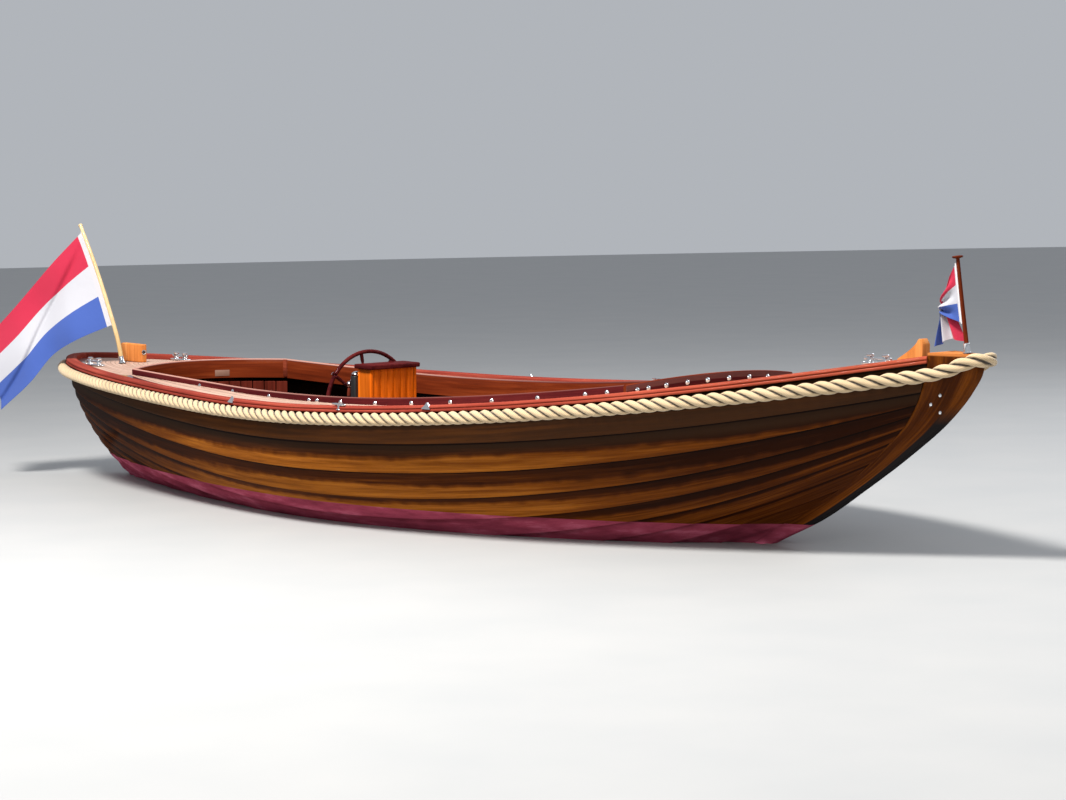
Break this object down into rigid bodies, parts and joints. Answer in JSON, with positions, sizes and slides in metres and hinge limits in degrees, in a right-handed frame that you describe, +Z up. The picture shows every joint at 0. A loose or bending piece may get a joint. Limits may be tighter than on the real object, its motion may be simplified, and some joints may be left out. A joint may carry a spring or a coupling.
{
  "type": "motor launch",
  "caption": "Open double-ended motor launch with lapped planking, rope fender, coamed cockpit, engine box, wheel steering, propeller and rudder",
  "frame": {"origin": "amidships on the centreline, at the height of the water it floats in", "axes": "+X to the bow, +Y to port, +Z up"},
  "size_m": [7.1106, 2.1952, 1.9502],
  "materials": {
    "varnished_planking": "high gloss varnish",
    "mahogany_rail": "high gloss varnish, dark red",
    "mahogany_joinery": "high gloss varnish, orange brown",
    "ash": "satin varnish",
    "teak": "bare, scrubbed",
    "antifouling": "matt antifouling paint",
    "rope": "three-strand laid rope",
    "chrome": "polished",
    "bronze": "dull bronze",
    "engine_paint": "enamel",
    "flag_cloth": "woven, striped red, white and blue"
  },
  "bodies": {
    "hull": {"keel": "antifouling", "stem": "varnished_planking", "sternpost": "varnished_planking", "strake_port_01": "varnished_planking", "strake_port_02": "varnished_planking", "strake_port_03": "varnished_planking", "strake_port_04": "varnished_planking", "strake_port_05": "varnished_planking", "strake_port_06": "varnished_planking", "strake_port_07": "varnished_planking", "strake_port_08": "varnished_planking", "strake_port_09": "varnished_planking", "strake_port_10": "varnished_planking", "strake_starboard_01": "varnished_planking", "strake_starboard_02": "varnished_planking", "strake_starboard_03": "varnished_planking", "strake_starboard_04": "varnished_planking", "strake_starboard_05": "varnished_planking", "strake_starboard_06": "varnished_planking", "strake_starboard_07": "varnished_planking", "strake_starboard_08": "varnished_planking", "strake_starboard_09": "varnished_planking", "strake_starboard_10": "varnished_planking", "bench_port": "varnished_planking", "bench_starboard": "varnished_planking", "bench_stern": "varnished_planking", "bench_bow": "varnished_planking", "bulkhead_aft": "varnished_planking", "bulkhead_fore": "varnished_planking", "floor_bearer": "varnished_planking", "rail_port": "mahogany_rail", "rail_starboard": "mahogany_rail", "coaming_port": "mahogany_rail", "coaming_starboard": "mahogany_rail", "coaming_front": "mahogany_rail", "engine_box": "mahogany_joinery", "console": "mahogany_joinery", "stern_block": "mahogany_joinery", "bow_bitt": "mahogany_joinery", "jackstaff": "mahogany_joinery", "ensign_staff": "ash", "side_deck_port": "teak", "side_deck_starboard": "teak", "foredeck": "teak", "cockpit_sole": "teak", "rope_fender": "rope", "steering_column": "chrome", "bollard_bow": "chrome", "bollard_quarter_port": "chrome", "bollard_quarter_starboard": "chrome", "stern_tube": "bronze", "engine": "engine_paint", "ensign": "flag_cloth", "jack_flag": "flag_cloth"},
    "steering_wheel": {"steering_wheel": "mahogany_joinery"},
    "rudder": {"rudder": "antifouling"},
    "propeller": {"propeller": "bronze"},
    "engine_box_lid": {"engine_box_lid": "teak"}
  },
  "joints": [
    {"name": "rudder_turn", "type": "hinge", "parent": "hull", "child": "rudder", "pos_m": [-2.75197, 0, -0.27516], "axis": [0.0309, 0, 0.9995], "range_deg": [-35, 35]},
    {"name": "wheel_turn", "type": "hinge", "parent": "hull", "child": "steering_wheel", "pos_m": [-0.6667, 0, 0.5108], "axis": [0.9995, 0, -0.0309], "range_deg": [-540, 540]},
    {"name": "propeller_spin", "type": "hinge", "parent": "hull", "child": "propeller", "pos_m": [-2.31218, 0, -0.28875], "axis": [0.9941, 0, 0.1085], "continuous": true},
    {"name": "engine_box_lid_hinge", "type": "hinge", "parent": "hull", "child": "engine_box_lid", "pos_m": [0.58038, 0, 0.26747], "axis": [0, 1, 0], "range_deg": [0, 80]}
  ],
  "couplings": [
    {"joint": "wheel_turn", "follows": "rudder_turn", "ratio": 15.4}
  ]
}
